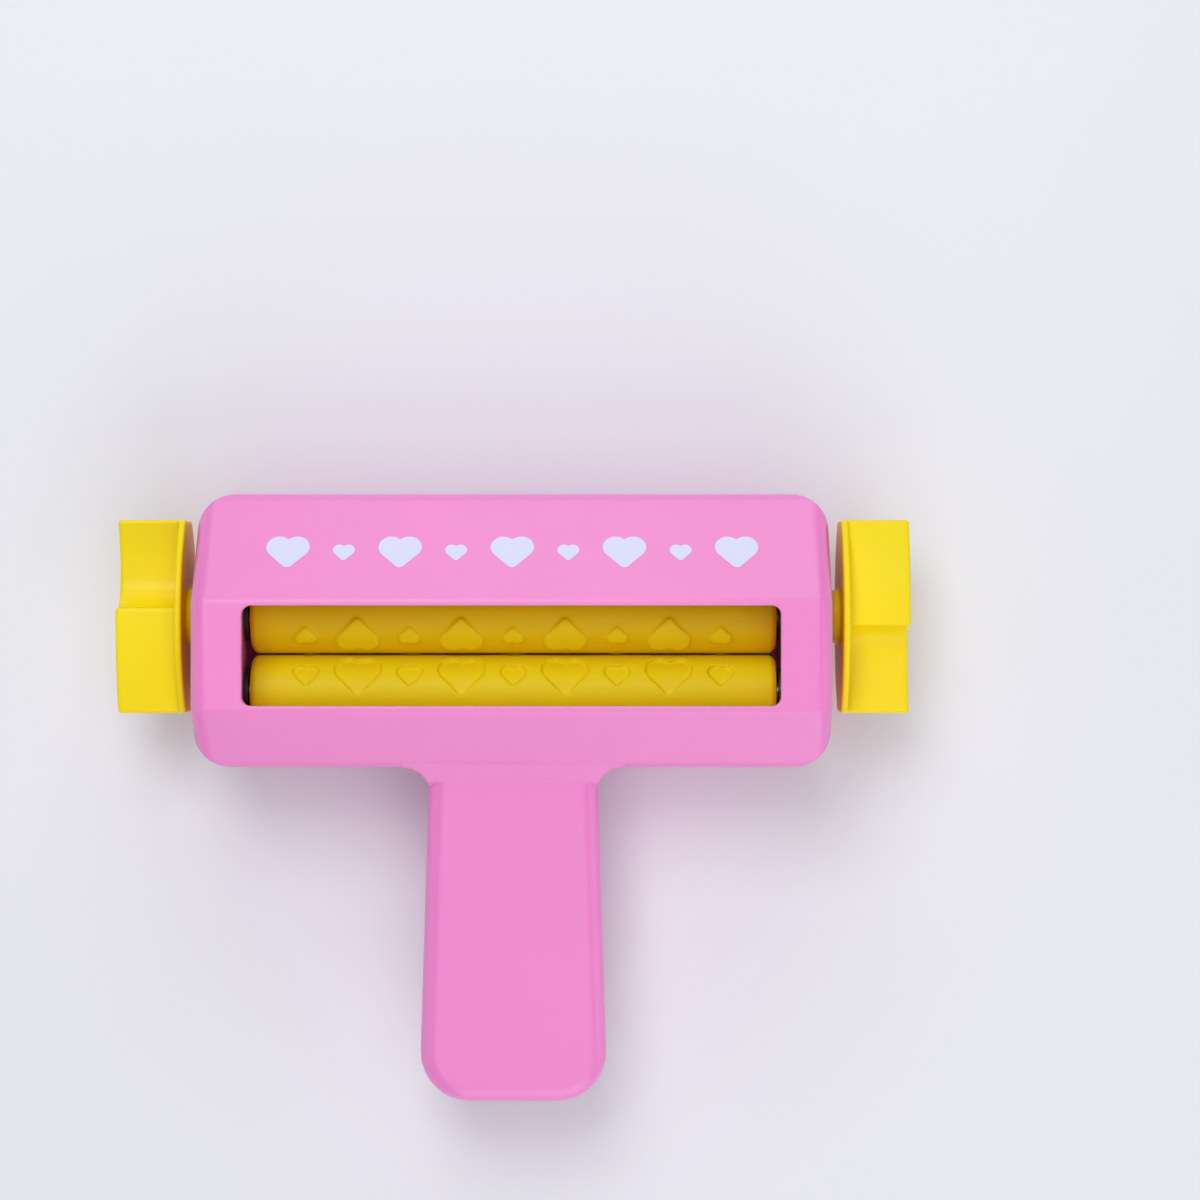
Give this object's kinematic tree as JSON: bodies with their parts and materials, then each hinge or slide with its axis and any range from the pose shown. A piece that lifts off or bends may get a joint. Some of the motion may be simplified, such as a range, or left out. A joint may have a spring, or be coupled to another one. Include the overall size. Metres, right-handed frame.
{
  "type": "paper embossing roller",
  "caption": "Hand-held paper embosser: a T-shaped pink housing with heart-patterned rollers in a long window, geared together and turned by wing knobs at the ends.",
  "frame": {"origin": "centre of the part's box in X and Y, on the plane of the flat rear face it lies on", "axes": "+X along the rollers, +Y from the grip to the housing, +Z from the rear face to the front face"},
  "size_m": [0.1776, 0.136, 0.046],
  "materials": {
    "pink_plastic": "satin moulded",
    "golden_plastic": "satin moulded",
    "yellow_plastic": "gloss moulded",
    "ivory_plastic": "matt moulded",
    "black_plastic": "matt moulded",
    "steel": "plain bright"
  },
  "bodies": {
    "housing": {"front_shell": "pink_plastic", "rear_shell": "pink_plastic", "left_drive_bush": "black_plastic", "right_drive_bush": "black_plastic", "left_idler_bush": "black_plastic", "right_idler_bush": "black_plastic", "housing_screws": "steel", "grip_screws": "steel"},
    "drive": {"embossing_roller": "golden_plastic", "drive_shaft": "steel", "drive_gear": "ivory_plastic", "left_knob": "yellow_plastic", "right_knob": "yellow_plastic"},
    "idler": {"counter_roller": "golden_plastic", "idler_shaft": "steel", "idler_gear": "ivory_plastic"}
  },
  "joints": [
    {"name": "drive_turn", "type": "hinge", "parent": "housing", "child": "drive", "pos_m": [0, 0.0405, 0.023], "axis": [1, 0, 0], "continuous": true},
    {"name": "idler_turn", "type": "hinge", "parent": "housing", "child": "idler", "pos_m": [0, 0.0235, 0.023], "axis": [1, 0, 0], "continuous": true}
  ],
  "couplings": [
    {"joint": "idler_turn", "follows": "drive_turn", "ratio": -1}
  ]
}
